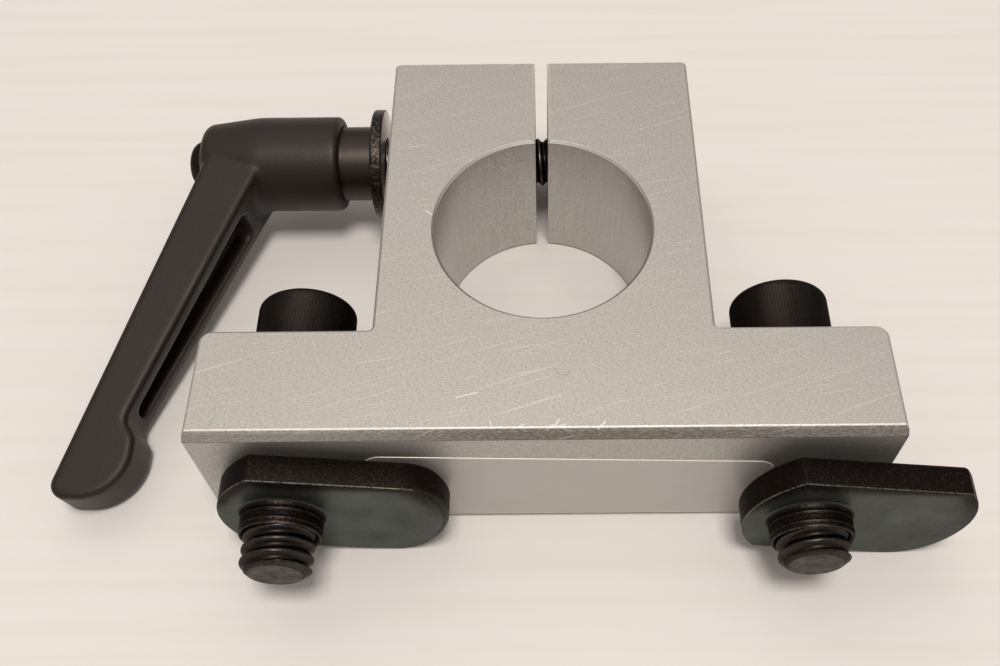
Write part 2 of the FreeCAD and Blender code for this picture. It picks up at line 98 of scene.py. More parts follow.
# Marks on the block's upper face in millimetres: start, end, width and depth of tone.
BRIGHT_MARKS = (
    ((-28.9, -23.7), (-14.2, -19.6), 0.14, 0.35),
    ((-37.4, -23.3), (-33.5, -21.7), 0.14, 0.35),
    ((-9.4, -23.0), (-7.2, -22.5), 0.28, 0.9),
    ((-5.8, -25.8), (-5.5, -26.5), 0.26, 0.8),
    ((-2.6, -26.5), (-2.1, -26.3), 0.26, 0.8),
    ((0.3, -26.8), (0.9, -26.4), 0.3, 0.9),
    ((0.9, -26.7), (1.5, -25.8), 0.32, 0.9),
    ((1.6, -26.6), (2.2, -26.3), 0.3, 0.8),
    ((5.6, -26.9), (6.3, -26.1), 0.3, 0.9),
    ((-13.9, 2.2), (-13.1, 1.6), 0.3, 1.0),
)
DARK_MARKS = (
    ((-35.3, -26.2), (-34.8, -25.0), 0.16, 0.6),
    ((-34.8, -25.0), (-34.9, -23.8), 0.14, 0.5),
    ((-31.7, -26.4), (-31.3, -26.4), 0.2, 0.9),
    ((1.2, -19.5), (1.5, -20.3), 0.16, 0.5),
    ((1.5, -20.3), (2.5, -20.4), 0.16, 0.6),
    ((2.5, -20.4), (2.9, -19.7), 0.16, 0.5),
)

# Sets of fine scratches: turn in degrees, sizes in millimetres, and the noise above which one shows.
SCRATCHES = (
    (10.0, (9.0, 0.14, 3.0), 0.66),
    (19.0, (16.0, 0.16, 3.0), 0.65),
    (-40.0, (4.0, 0.12, 3.0), 0.7),
)

# Range that holds most of a noise texture's values.
NOISE_SPAN = {"From Min": 0.3, "From Max": 0.7}

# Black oxide lacks bare metal's bright reflection at grazing angles.
OXIDE_GRAZING = (0.55, 0.55, 0.55, 1.0)

# Lamps' places and widths and the table's reach in metres, and the cells along its side.
KEY_PLACE, KEY_WIDTH = (0.03, -0.17, 0.8), 0.2
BACK_PLACE, BACK_WIDTH = (-0.19, 0.46, 0.86), 0.8
TABLE_REACH, TABLE_CELLS = 1.5, 6


def linear(code):
    """Linear RGBA of an sRGB hex colour such as "B2AAA0"."""
    srgb = np.array([int(code[i:i + 2], 16) for i in (0, 2, 4)]) / 255.0
    rgb = np.where(srgb <= 0.04045, srgb / 12.92, ((srgb + 0.055) / 1.055) ** 2.4)
    return (*rgb.tolist(), 1.0)


def per_metre(size_mm):
    """Texture scale whose features are about size_mm across."""
    return 1.0 / (size_mm * MM)


def length(name, description, size_mm, least_mm=0.0):
    """Length setting with its default and its least value in millimetres."""
    return FloatProperty(name=name, description=description, default=size_mm * MM, min=least_mm * MM,
                         precision=5, subtype="DISTANCE", unit="LENGTH")


def turn(name, description, degrees):
    """Angle setting with its default in degrees."""
    return FloatProperty(name=name, description=description, default=math.radians(degrees),
                         subtype="ANGLE", unit="ROTATION")


def colour(name, description, code):
    """Colour setting with its default as an sRGB hex value."""
    return FloatVectorProperty(name=name, description=description, default=linear(code), min=0.0, max=1.0,
                               size=4, subtype="COLOR")


class FastenerSizes(bpy.types.PropertyGroup):
    """Sizes of the screws, nuts, stud and spring that the solids leave plain."""

    screw_pitch: length("Screw pitch", "Pitch of the base screws' thread", 1.411)
    stud_pitch: length("Stud pitch", "Pitch of the clamping stud's thread", 1.27)
    knurl_count: IntProperty(name="Knurl grooves", description="Grooves round a screw head",
                             default=96, min=12)
    knurl_depth: length("Knurl depth", "Depth of a groove in the screw heads", 0.17)
    left_roll: length("Left nut roll", "Edge radius of the left nut's long end", 0.7)
    nut_edge: length("Nut edge", "Edge radius of the slot nuts", 0.14)
    collar_ridge: length("Collar ridge", "Height of the rings on the nuts' collars", 0.05)
    spring_turns: IntProperty(name="Spring turns", description="Turns of the lever's spring",
                              default=4, min=2)
    spring_wire: length("Spring wire", "Radius of the lever spring's wire", 0.3)


class LabelSizes(bpy.types.PropertyGroup):
    """Sizes of the blank label on the base."""

    left: length("Left end", "Label's left end along X", -19.8, -38.0)
    right: length("Right end", "Label's right end along X", 25.3, -38.0)
    foot: length("Foot", "Height of the label's lower edge above the resting face", 0.9)
    top: length("Top", "Height of the label's top edge at its middle", 15.85)
    fall: FloatProperty(name="Fall", description="Slope of the top edge towards the right", default=0.045)
    corner: length("Corner", "Radius of the label's top corners", 2.0)
    low_corner: length("Low corner", "Radius of the label's lower corners", 0.4)
    notch: length("Notch", "Radius kept clear round the right screw's hole", 4.5)
    film: length("Film", "Thickness of the label", 0.06)


class FinishColours(bpy.types.PropertyGroup):
    """Colours of the finishes."""

    aluminium: colour("Aluminium", "Tumbled aluminium of the block", "C8C6C3")
    aluminium_dull: colour("Dull aluminium", "Duller patches of the block", "B3B0AC")
    # Also painted highlight on the block's broken edges, where they catch the light.
    aluminium_bright: colour("Bright aluminium", "Worn edges and scratches of the block", "F2EEE8")
    # Also painted shade on the front chamfer, for the dark reflection of that front-facing band.
    aluminium_cut_and_shade: colour("Cut aluminium", "Rough cut of the block's front chamfer", "857E78")
    oxide: colour("Black oxide", "Black oxide on the screws and stud", "2E2A28")
    oxide_plate: colour("Plate oxide", "Dark green-grey oxide on the nuts' faces", "656A67")
    # Also the painted shade band on the nuts' faces below their upper edges.
    oxide_sheared_and_shade: colour("Sheared oxide", "Black sheared edges of the nuts", "25201E")
    oxide_worn: colour("Worn oxide", "Bare steel at worn edges", "A9A49C")
    screw_end: colour("Screw end", "Cut ends of the base screws", "5C5854")
    lever: colour("Lever", "Moulded plastic of the lever", "1B110B")
    bushing: colour("Bushing", "Dark turned steel of the lever's insert", "403A37")
    bare_steel: colour("Bare steel", "Washer's face where it rubs on the block", "E0DCD8")
    spring: colour("Spring", "Drawn spring wire", "A8A8A6")
    label: colour("Label", "Silver film of the label", "BDB8B4")
    label_edge: colour("Label edge", "Cut edge of the label", "E4DFD8")
    floor: colour("Floor", "Pale table", "E4E2E0")
    floor_streak: colour("Floor streaks", "Faint streaks in the table", "E2DFDC")


class StageSettings(bpy.types.PropertyGroup):
    """Camera, lamps and surroundings."""

    azimuth: turn("Azimuth", "Camera's angle from -Y", 0.337)
    elevation: turn("Elevation", "Camera's angle above the table", 56.503)
    roll: turn("Roll", "Camera's turn about its view", -0.802)
    target: FloatVectorProperty(name="Target", description="Point the camera looks at",
                                default=(-0.73 * MM, 3.88 * MM, 0.0), subtype="TRANSLATION", unit="LENGTH")
    distance: length("Distance", "Camera's distance from the target", 148.97)
    lens: FloatProperty(name="Lens", description="Focal length in millimetres", default=39.31, min=1.0)
    shift: FloatVectorProperty(name="Shift", description="Lens shift as shares of the frame's width",
                               default=(-0.0376, -0.0357), size=2)
    light: colour("Light", "Warm tint of the lamps and the room", "FFF6EE")
    key_power: FloatProperty(name="Key power", description="Power of the lamp overhead",
                             default=3.9, min=0.0, unit="POWER")
    back_power: FloatProperty(name="Back power", description="Power of the wide lamp behind",
                              default=1.3, min=0.0, unit="POWER")
    ambient: FloatProperty(name="Ambient", description="Strength of the surrounding light",
                           default=0.44, min=0.0)


class ClampSettings(bpy.types.PropertyGroup):
    """All settings of the clamp."""

    fasteners: PointerProperty(type=FastenerSizes)
    label: PointerProperty(type=LabelSizes)
    colours: PointerProperty(type=FinishColours)
    stage: PointerProperty(type=StageSettings)


def ease(share):
    """Smooth step 3t^2 - 2t^3 of a share held between 0 and 1."""
    held = np.clip(share, 0.0, 1.0)
    return held * held * (3.0 - 2.0 * held)


def arc(radius, start, end, count):
    """Cosines and sines of an arc between two angles in degrees times its radius, one row to a ring."""
    angles = np.radians(np.linspace(start, end, count))[:, None]
    return radius * np.cos(angles), radius * np.sin(angles)


def round_angles(columns):
    """Even angles for one turn, without the repeated last one."""
    return np.linspace(0.0, 2.0 * np.pi, columns, endpoint=False)


def thread_height(along, angles, pitch):
    """Share of the thread's depth: eased flanks between a flat root and crest, climbing one pitch a turn."""
    phase = np.mod(along / pitch - angles / (2.0 * np.pi), 1.0)
    flank = np.abs(2.0 * phase - 1.0)
    return ease((flank - ROOT_FLAT) / (1.0 - ROOT_FLAT - CREST_FLAT))


def stack_rings(blocks, columns, *keys):
    """Radius and place along the axis of every ring, and its marks by key.

    A block holds these in turn, as numbers or as arrays that spread over its rings and columns. Marks that
    it leaves out are zero.
    """
    absent = [0.0] * len(keys)
    filled = [(*block, *absent)[:2 + len(keys)] for block in blocks]
    spread = [np.broadcast_arrays(np.ones((1, columns)), *block)[1:] for block in filled]
    radius, along, *marks = (np.concatenate(parts) for parts in zip(*spread))
    return radius, along, dict(zip(keys, marks))


def carry_round(radius, along, angles, origin, across, up, axis):
    """Rings carried round an axis: origin + along * axis + radius * (cos * across + sin * up)."""
    directions = np.cos(angles)[:, None] * across + np.sin(angles)[:, None] * up
    return origin + along[..., None] * axis + radius[..., None] * directions


def axis_point(joint, y):
    """Point at a place along Y on the axis of a joint that turns about Y."""
    position = JOINTS[joint]["pos_m"]
    return np.array([position[0], y, position[2]])


def signed_volume(points, triangles):
    """Sum of the tetrahedra from the origin to each triangle: negative when the faces point inwards."""
    a, b, c = (points[triangles[:, i]] for i in range(3))
    return np.einsum("ij,ij->i", a, np.cross(b, c)).sum() / 6.0


def show(name, data):
    """Object of a mesh, lamp or camera, linked to the scene."""
    item = bpy.data.objects.new(name, data)
    bpy.context.scene.collection.objects.link(item)
    return item


def add_piece(name, points, material, body, node=None, closed=False, marks=None, crease=40.0):
    """Mesh through a grid of points whose columns close on themselves.

    Neighbouring points make quads. The rows close on themselves too, or a point at the middle of the first
    and last ring closes each end. Faces are turned outwards by the sign of the volume they enclose. Marks
    are values per grid point for the material.
    """
    rows, columns = points.shape[:2]
    grid = np.arange(rows * columns).reshape(rows, columns)
    lower = grid if closed else grid[:-1]
    upper = np.roll(grid, -1, axis=0) if closed else grid[1:]
    quads = np.stack([lower, np.roll(lower, -1, 1), np.roll(upper, -1, 1), upper], axis=-1).reshape(-1, 4)
    triangles = np.concatenate([quads[:, [0, 1, 2]], quads[:, [0, 2, 3]]])
    vertices = points.reshape(-1, 3)
    caps = np.empty((0, 3), int)
    if not closed:
        vertices = np.concatenate([vertices, points[[0, -1]].mean(axis=1)])
        ends = np.full((2, columns), [[rows * columns], [rows * columns + 1]])
        first = np.stack([np.roll(grid[0], -1), grid[0], ends[0]], axis=-1)
        last = np.stack([grid[-1], np.roll(grid[-1], -1), ends[1]], axis=-1)
        caps = np.concatenate([first, last])
    if signed_volume(vertices, np.concatenate([triangles, caps])) < 0.0:
        quads, caps = quads[:, ::-1], caps[:, ::-1]

    mesh = bpy.data.meshes.new(name)
    mesh.from_pydata(vertices.tolist(), [], quads.tolist() + caps.tolist())
    for key, values in (marks or {}).items():
        full = np.zeros(len(vertices), np.float32)
        full[:rows * columns] = np.broadcast_to(values, (rows, columns)).ravel()
        if not closed:
            full[rows * columns:] = full[[0, rows * columns - 1]]
        mesh.attributes.new(key, "FLOAT", "POINT").data.foreach_set("value", full)
    mesh.shade_smooth()
    mesh.set_sharp_from_angle(angle=math.radians(crease))
    mesh.materials.append(material)
    piece = show(name, mesh)
    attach(piece, body)
    if node:
        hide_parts(node)
    return piece


def add_node(tree, kind, inputs=None, **settings):
    """Add a node; settings are its own properties, inputs are values, or sockets or nodes to link from.

    A node is linked from its first output in use.
    """
    node = tree.nodes.new("ShaderNode" + kind)
    for key, setting in settings.items():
        setattr(node, key, setting)
    for key, entry in (inputs or {}).items():
        if isinstance(entry, bpy.types.Node):
            entry = next(output for output in entry.outputs if output.enabled)
        if isinstance(entry, bpy.types.NodeSocket):
            tree.links.new(entry, node.inputs[key])
        else:
            node.inputs[key].default_value = entry
    return node


def new_material(name):
    """New material, the function that adds nodes to it, and the place on the piece as a vector."""
    material = bpy.data.materials.new(name)
    material.use_nodes = True
    material.node_tree.nodes.clear()
    add = partial(add_node, material.node_tree)
    return material, add, add("TexCoord").outputs["Object"]


def finish(material, add, inputs, grain=None, smooth=0.0, rough=0.0):
    """Give a material its shader, with a roughness from smooth to rough over the values of a grain."""
    if grain:
        spread = {"Value": grain, **NOISE_SPAN, "To Min": smooth, "To Max": rough}
        inputs["Roughness"] = add("MapRange", spread)
    add("OutputMaterial", {"Surface": add("BsdfPrincipled", inputs)})
    return material


def layered(add, tone, *layers):
    """Colour that each layer in turn mixes towards its own shade by its mask."""
    for mask, shade in layers:
        tone = add("Mix", {0: mask, 6: tone, 7: shade}, data_type="RGBA")
    return tone


def facing_parts(add):
    """Sockets X, Y and Z of the direction that the surface faces."""
    return add("SeparateXYZ", {"Vector": add("TexCoord").outputs["Normal"]}).outputs


def edge_mask(add, radius_mm, start, full):
    """Rounded normal, and a mask that grows where it leaves the surface's own normal, at edges."""
    rounded = add("Bevel", {"Radius": radius_mm * MM}, samples=8)
    own = add("NewGeometry").outputs["Normal"]
    agree = add("VectorMath", {0: rounded, 1: own}, operation="DOT_PRODUCT")
    return rounded, add("MapRange", {"Value": agree, "From Min": start, "From Max": full})


def streaks(add, place, degrees, sizes_mm, detail=2.0):
    """Noise whose features have the given sizes along X, Y, Z, turned about Z by an angle in degrees."""
    mapped = add("Mapping", {"Vector": place, "Rotation": (0.0, 0.0, math.radians(degrees)),
                             "Scale": [size * MM for size in sizes_mm]}, vector_type="TEXTURE")
    return add("TexNoise", {"Vector": mapped, "Scale": 1.0, "Detail": detail})


def line_mask(add, place, start, end, width_mm):
    """Mask along the line between two points in millimetres: one on the line, nothing at half the width."""
    start, end = Vector(start) * MM, Vector(end) * MM
    reach = (end - start).length
    unit = (end - start) / reach
    offset = add("VectorMath", {0: place, 1: start}, operation="SUBTRACT")
    along = add("VectorMath", {0: offset, 1: unit}, operation="DOT_PRODUCT")
    held = add("Clamp", {"Value": along, "Min": 0.0, "Max": reach})
    foot = add("VectorMath", {0: unit, "Scale": held}, operation="SCALE")
    gap = add("VectorMath", {0: offset, 1: foot}, operation="DISTANCE")
    return add("MapRange", {"Value": gap, "From Min": width_mm * MM / 2.0, "From Max": 0.0})


def mark_masks(add, place, marks, height):
    """Strongest of a list of marks on the level face at a height, wavering by a small noise."""
    waver = add("TexNoise", {"Vector": place, "Scale": per_metre(0.7), "Detail": 2.0}).outputs["Color"]
    waver = add("VectorMath", {0: waver, 1: (0.5, 0.5, 0.5)}, operation="SUBTRACT")
    place = add("VectorMath", {0: waver, 1: [0.35 * MM] * 3, 2: place}, operation="MULTIPLY_ADD")
    strongest = None
    for start, end, width_mm, depth in marks:
        line = line_mask(add, place, (*start, height), (*end, height), width_mm)
        line = add("Math", {0: line, 1: depth}, operation="MULTIPLY")
        if strongest:
            line = add("Math", {0: strongest, 1: line}, operation="MAXIMUM")
        strongest = line
    return strongest


def chamfer_masks(add, place, across, low, high):
    """Mask of the block's front chamfer, and of its darker tone: rough-cut ticks plus painted shade, fading
    to half at its left end.
    """
    brink = high.z - low.y - FRONT_CHAMFER
    ramp = add("VectorMath", {0: place, 1: (0.0, -1.0, 1.0)}, operation="DOT_PRODUCT")
    chamfer = add("MapRange", {"Value": ramp, "From Min": brink - 0.24 * MM, "From Max": brink - 0.16 * MM})
    ticks = streaks(add, place, 0.0, (0.45, 0.13, 0.13), 3.0)
    cut = add("MapRange", {"Value": ticks, "From Min": 0.7, "From Max": 0.35, "To Min": 0.4})
    fading = add("MapRange", {"Value": across, "From Min": -26.0 * MM, "From Max": -4.0 * MM, "To Min": 0.5})
    for mask in (chamfer, fading):
        cut = add("Math", {0: cut, 1: mask}, operation="MULTIPLY")
    return chamfer, cut


def scratch_mask(add, place, facing, height):
    """Bright marks and sets of fine slanting scratches, on faces that look up."""
    scratches = mark_masks(add, place, BRIGHT_MARKS, height)
    for degrees, sizes_mm, start in SCRATCHES:
        lines = streaks(add, place, degrees, sizes_mm)
        lines = add("MapRange", {"Value": lines, "From Min": start, "From Max": start + 0.1, "To Max": 0.45})
        scratches = add("Math", {0: scratches, 1: lines}, operation="MAXIMUM")
    level = add("MapRange", {"Value": facing["Z"], "From Min": 0.3, "From Max": 0.6})
    return add("Math", {0: scratches, 1: level}, operation="MULTIPLY")


def broken_edges(add, across, facing, radius):
    """Mask of the sloping broken edges that face the front or line the slit, faint on the bore's rim;
    painted highlight for the light they catch.
    """
    slope = add("Math", {0: facing["Z"], 1: 0.66}, operation="SUBTRACT")
    slope = add("Math", {0: slope}, operation="ABSOLUTE")
    broken = add("MapRange", {"Value": slope, "From Min": 0.28, "From Max": 0.24})
    ahead = add("MapRange", {"Value": facing["Y"], "From Min": -0.1, "From Max": -0.3})
    aside = add("Math", {0: across}, operation="ABSOLUTE")
    slit = add("MapRange", {"Value": aside, "From Min": 2.0 * MM, "From Max": 1.6 * MM})
    outside = add("MapRange", {"Value": radius, "From Min": BORE_RADIUS + 0.35 * MM,
                               "From Max": BORE_RADIUS + 0.5 * MM, "To Min": 0.2})
    lip = add("MapRange", {"Value": radius, "From Min": BORE_RADIUS + 0.14 * MM,
                           "From Max": BORE_RADIUS + 0.08 * MM})
    for first, second in ((ahead, slit), (outside, lip)):
        either = add("Math", {0: first, 1: second}, operation="MAXIMUM")
        broken = add("Math", {0: broken, 1: either}, operation="MULTIPLY")
    return broken


def tumbled_aluminium(colours):
    """Milled and tumbled aluminium: satin grey, fine speckle, slanting scratches, nicks, edges bright by
    wear and by painted highlight, and a chamfer darkened partly by painted shade.
    """
    material, add, place = new_material("tumbled_aluminium")
    low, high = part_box("clamp_body")
    facing = facing_parts(add)
    across = add("SeparateXYZ", {"Vector": place}).outputs["X"]
    flat = add("VectorMath", {0: place, 1: (1.0, 1.0, 0.0)}, operation="MULTIPLY")
    radius = add("VectorMath", {0: flat}, operation="LENGTH")

    # Tumbling leaves a slanting grain finer than a pixel, so it is drawn 0.12 mm wide.
    speckle = streaks(add, place, 20.0, (0.36, 0.12, 0.25), 3.0)
    dots = add("MapRange", {"Value": speckle, "From Min": 0.33, "From Max": 0.67})

    # The bore was drilled and reamed along Z, which leaves fine upright streaks.
    bore = add("MapRange", {"Value": radius, "From Min": BORE_RADIUS + 0.2 * MM,
                            "From Max": BORE_RADIUS + 0.05 * MM})
    drawn = streaks(add, place, 0.0, (0.2, 0.2, 9.0), 4.0)
    drawn = add("MapRange", {"Value": drawn, "From Min": 0.35, "From Max": 0.7, "To Max": 0.2})
    drawn = add("Math", {0: drawn, 1: bore}, operation="MULTIPLY")

    chamfer, rough_cut_and_shade = chamfer_masks(add, place, across, low, high)
    scratches = scratch_mask(add, place, facing, high.z / MM)
    dents = mark_masks(add, place, DARK_MARKS, high.z / MM)
    rounded, edge = edge_mask(add, 0.08, 0.985, 0.9)
    broken = broken_edges(add, across, facing, radius)
    # Worn edges, and on the broken edges painted highlight for the light they catch, are mixed to bright
    # aluminium.
    edge = add("Math", {0: edge, 1: broken}, operation="MAXIMUM")
    whole = add("Math", {0: 1.0, 1: chamfer}, operation="SUBTRACT")
    edge = add("Math", {0: edge, 1: whole}, operation="MULTIPLY")
    wear_and_highlight = add("Math", {0: scratches, 1: edge}, operation="MAXIMUM")
    # The chamfer's darker tone is partly its rough cut and partly painted shade for its dark reflection.
    tone = layered(add, colours.aluminium, (dots, colours.aluminium_dull), (drawn, colours.aluminium_cut_and_shade),
                   (rough_cut_and_shade, colours.aluminium_cut_and_shade), (wear_and_highlight, colours.aluminium_bright),
                   (dents, colours.aluminium_cut_and_shade))

    rough = add("MapRange", {"Value": speckle, **NOISE_SPAN, "To Min": 0.54, "To Max": 0.64})
    for mask, change in ((bore, -0.23), (chamfer, 0.24)):
        rough = add("Math", {0: mask, 1: change, 2: rough}, operation="MULTIPLY_ADD")
    relief = add("Math", {0: scratches, 1: -0.8, 2: speckle}, operation="MULTIPLY_ADD")
    bump = add("Bump", {"Height": relief, "Strength": 0.3, "Distance": 0.03 * MM, "Normal": rounded})
    return finish(material, add, {"Base Color": tone, "Metallic": 1.0, "Roughness": rough, "Normal": bump})


def black_oxide(colours):
    """Black oxide on steel: near-black, softly shining, bare metal on rubbed crests, dull on cut ends."""
    if "black_oxide_steel" in bpy.data.materials:
        return bpy.data.materials["black_oxide_steel"]
    material, add, place = new_material("black_oxide_steel")
    worn = add("Attribute", attribute_name="worn").outputs["Fac"]
    cut = add("Attribute", attribute_name="cut_end").outputs["Fac"]
    # The oxide's grain is finer than a pixel, so it is drawn 0.4 mm across.
    speckle = add("TexNoise", {"Vector": place, "Scale": per_metre(0.4), "Detail": 4.0})
    rubbed = add("MapRange", {"Value": speckle, "From Min": 0.3, "From Max": 0.65, "To Min": 0.3})
    rubbed = add("Math", {0: rubbed, 1: worn}, operation="MULTIPLY")
    blotch = add("TexNoise", {"Vector": place, "Scale": per_metre(1.2), "Detail": 4.0})
    blotch = add("MapRange", {"Value": blotch, **NOISE_SPAN, "To Min": 0.6, "To Max": 1.5})
    sawn = add("VectorMath", {0: colours.screw_end[:3], "Scale": blotch}, operation="SCALE")
    tone = layered(add, colours.oxide, (rubbed, colours.oxide_worn), (cut, sawn))
    grit = add("Math", {0: cut, 1: 0.6, 2: 0.2}, operation="MULTIPLY_ADD")
    bump = add("Bump", {"Height": speckle, "Strength": grit, "Distance": 0.05 * MM})
    return finish(material, add, {"Base Color": tone, "Metallic": 1.0, "Specular Tint": OXIDE_GRAZING,
                                  "Normal": bump}, speckle, 0.28, 0.4)


def oxide_plate(colours):
    """Stamped steel under black oxide: satin green-grey faces, black grainy edges, bright worn lines, and a
    black band of painted shade below the faces' upper edges.
    """
    material, add, place = new_material("oxide_stamped_plate")
    worn = add("Attribute", attribute_name="worn").outputs["Fac"]
    sheared_and_shade = add("Attribute", attribute_name="sheared_and_shade").outputs["Fac"]
    # The sheared grain is finer than a pixel, so it is drawn 0.35 mm across.
    speckle = add("TexNoise", {"Vector": place, "Scale": per_metre(0.35), "Detail": 4.0})
    clouds = add("TexNoise", {"Vector": place, "Scale": per_metre(5.0), "Detail": 3.0})
    shade = add("MapRange", {"Value": clouds, **NOISE_SPAN, "To Min": 0.75, "To Max": 1.1})
    face = add("VectorMath", {0: colours.oxide_plate[:3], "Scale": shade}, operation="SCALE")
    rubbed = add("MapRange", {"Value": speckle, "From Min": 0.3, "From Max": 0.6})
    rubbed = add("Math", {0: rubbed, 1: worn}, operation="MULTIPLY")
    chips = add("TexNoise", {"Vector": place, "Scale": per_metre(0.22), "Detail": 1.0})
    chips = add("MapRange", {"Value": chips, "From Min": 0.56, "From Max": 0.85, "To Max": 0.12})
    chips = add("Math", {0: chips, 1: sheared_and_shade}, operation="MULTIPLY")
    rubbed = add("Math", {0: rubbed, 1: chips}, operation="MAXIMUM")
    # This mark carries the black sheared edges and also the painted shade band below the nuts' upper edges.
    tone = layered(add, face, (sheared_and_shade, colours.oxide_sheared_and_shade), (rubbed, colours.oxide_worn))
    grit = add("Math", {0: sheared_and_shade, 1: 0.8, 2: 0.2}, operation="MULTIPLY_ADD")
    bump = add("Bump", {"Height": speckle, "Strength": grit, "Distance": 0.06 * MM})
    return finish(material, add, {"Base Color": tone, "Metallic": 1.0, "Specular Tint": OXIDE_GRAZING,
                                  "Normal": bump}, speckle, 0.36, 0.5)


def oxide_washer(colours):
    """Black oxide on small turned pieces, specked bright by handling and bare where the block rubs it."""
    material, add, place = new_material("black_oxide_turned")
    rounded, edge = edge_mask(add, 0.2, 0.97, 0.85)
    speckle = add("TexNoise", {"Vector": place, "Scale": per_metre(0.35), "Detail": 4.0})
    specks = add("MapRange", {"Value": speckle, "From Min": 0.5, "From Max": 0.75})
    handled = add("Math", {0: edge, 1: 0.5, 2: 0.4}, operation="MULTIPLY_ADD")
    rubbed = add("Math", {0: specks, 1: handled}, operation="MULTIPLY")
    bare = add("MapRange", {"Value": facing_parts(add)["X"], "From Min": 0.9, "From Max": 0.97})
    tone = layered(add, colours.oxide, (rubbed, colours.oxide_worn), (bare, colours.bare_steel))
    bump = add("Bump", {"Height": speckle, "Strength": 0.3, "Distance": 0.03 * MM, "Normal": rounded})
    return finish(material, add, {"Base Color": tone, "Metallic": 1.0, "Normal": bump}, speckle, 0.32, 0.46)


def turned_steel(colours):
    """Dark oiled steel off the lathe: brownish metal with fine rings along the stud axis."""
    material, add, place = new_material("dark_turned_steel")
    rings = streaks(add, place, 0.0, (0.12, 40.0, 40.0))
    bump = add("Bump", {"Height": rings, "Strength": 0.3, "Distance": 0.02 * MM})
    return finish(material, add, {"Base Color": colours.bushing, "Metallic": 1.0, "Normal": bump},
                  rings, 0.36, 0.48)


def moulded_plastic(colours):
    """Glass-filled plastic from a sparked mould: matt black-brown, fine even texture, soft edges."""
    material, add, place = new_material("moulded_lever_plastic")
    rounded, edge = edge_mask(add, 0.9, 0.95, 0.7)
    # The mould's texture is finer than a pixel, so it is drawn 0.3 mm across.
    texture = add("TexNoise", {"Vector": place, "Scale": per_metre(0.3), "Detail": 3.0})
    shine = add("TexNoise", {"Vector": place, "Scale": per_metre(6.0), "Detail": 2.0})
    amount = add("Math", {0: edge, 1: 0.04}, operation="MULTIPLY")
    tone = layered(add, colours.lever, (amount, colours.oxide_worn))
    bump = add("Bump", {"Height": texture, "Strength": 0.4, "Distance": 0.05 * MM, "Normal": rounded})
    return finish(material, add, {"Base Color": tone, "Specular IOR Level": 0.4, "Normal": bump},
                  shine, 0.44, 0.54)


def spring_steel(colours):
    """Hard drawn spring wire: bright grey steel with faint draw marks."""
    material, add, place = new_material("drawn_spring_wire")
    marks = add("TexNoise", {"Vector": place, "Scale": per_metre(0.2), "Detail": 2.0})
    return finish(material, add, {"Base Color": colours.spring, "Metallic": 1.0}, marks, 0.25, 0.4)


def label_film(colours):
    """Silver polyester film: smooth satin grey with a thin pale cut edge."""
    material, add, place = new_material("silver_label_film")
    rim = add("Attribute", attribute_name="rim").outputs["Fac"]
    clouds = add("TexNoise", {"Vector": place, "Scale": per_metre(4.0), "Detail": 3.0})
    tone = layered(add, colours.label, (rim, colours.label_edge))
    return finish(material, add, {"Base Color": tone, "Metallic": 0.3}, clouds, 0.35, 0.45)


def table_top(colours):
    """Painted table: pale warm white with faint streaks along X."""
    material, add, place = new_material("pale_painted_table")
    bands = streaks(add, place, 0.0, (60.0, 2.5, 10.0))
    mask = add("MapRange", {"Value": bands, "From Min": 0.42, "From Max": 0.7})
    tone = layered(add, colours.floor, (mask, colours.floor_streak))
    return finish(material, add, {"Base Color": tone, "Roughness": 0.6})


def dress_node(node, material):
    """Give a CAD node's faces one finish."""
    mesh = frame["nodes"][node].data
    mesh.materials.clear()
    mesh.materials.append(material)


class CLAMP_OT_block(bpy.types.Operator):
    """Finish the split block in tumbled aluminium"""

    bl_idname = "clamp.block"
    bl_label = "Finish block"

    def execute(self, context):
        dress_node("clamp_body", tumbled_aluminium(context.scene.stanchion_clamp.colours))
        return {"FINISHED"}


class CLAMP_OT_lever(bpy.types.Operator):
    """Finish the lever, its insert, washer and retaining screw"""

    bl_idname = "clamp.lever"
    bl_label = "Finish lever"

    def execute(self, context):
        colours = context.scene.stanchion_clamp.colours
        dress_node("lever_handle", moulded_plastic(colours))
        dress_node("lever_insert", turned_steel(colours))
        dress_node("clamp_washer", oxide_washer(colours))
        dress_node("retaining_screw", black_oxide(colours))
        return {"FINISHED"}


def hex_radius(angles, flats):
    """Distance to a hexagon's side: half the flats over the cosine of the angle from the side's middle."""
    return flats / 2.0 / np.cos(np.mod(angles, np.pi / 3.0) - np.pi / 6.0)


